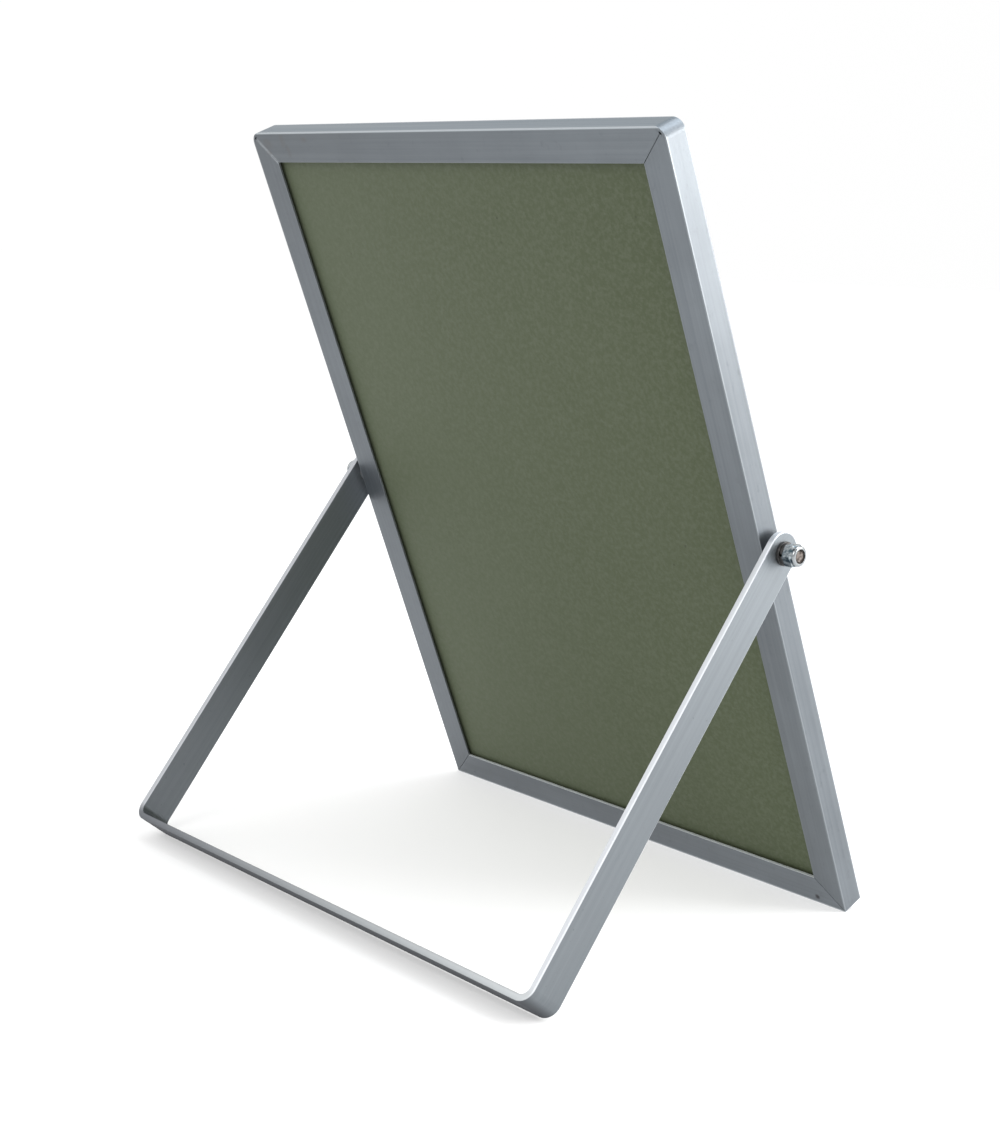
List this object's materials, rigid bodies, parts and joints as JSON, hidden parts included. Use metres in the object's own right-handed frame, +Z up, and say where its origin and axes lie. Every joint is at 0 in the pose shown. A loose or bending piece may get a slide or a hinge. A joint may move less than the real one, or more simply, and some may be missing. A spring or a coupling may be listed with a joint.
{
  "type": "tabletop easel",
  "caption": "Framed writing board in an aluminium channel, leaning back on a U-shaped flat-bar stand that turns about bolts at mid-height.",
  "frame": {"origin": "on the table, in the middle of the easel's footprint", "axes": "+Z up, X across the board, writing face towards -Y, stand towards +Y"},
  "size_m": [0.3326, 0.2392, 0.3838],
  "materials": {
    "frame_aluminium": "satin anodised extrusion",
    "stand_aluminium": "satin rolled flat bar",
    "backing_sheet": "matt grey-green coated hardboard",
    "core": "raw fibreboard edges",
    "writing_sheet": "gloss white",
    "packing": "closed-cell strip",
    "key_metal": "plain zinc casting",
    "zinc_hardware": "bright zinc plate",
    "dark_washer": "dark spring steel",
    "spacer_plastic": "moulded nylon",
    "insert_nylon": "nylon insert"
  },
  "bodies": {
    "board": {"folded_frame": "frame_aluminium", "bottom_rail": "frame_aluminium", "corner_key_left": "key_metal", "corner_key_right": "key_metal", "back_panel": "backing_sheet", "core_board": "core", "writing_surface": "writing_sheet", "packing_strip_left": "packing", "packing_strip_right": "packing", "packing_strip_top": "packing", "packing_strip_bottom": "packing", "pivot_bolt_left": "zinc_hardware", "pivot_spacer_left": "spacer_plastic", "flat_washer_left": "dark_washer", "spring_washer_left": "dark_washer", "lock_nut_left": "zinc_hardware", "nylon_ring_left": "insert_nylon", "pivot_bolt_right": "zinc_hardware", "pivot_spacer_right": "spacer_plastic", "flat_washer_right": "dark_washer", "spring_washer_right": "dark_washer", "lock_nut_right": "zinc_hardware", "nylon_ring_right": "insert_nylon"},
    "stand": {"support_stand": "stand_aluminium"}
  },
  "joints": [
    {"name": "stand_pivot", "type": "hinge", "parent": "board", "child": "stand", "pos_m": [0, -0.03141, 0.1919], "axis": [1, 0, 0], "continuous": true}
  ]
}
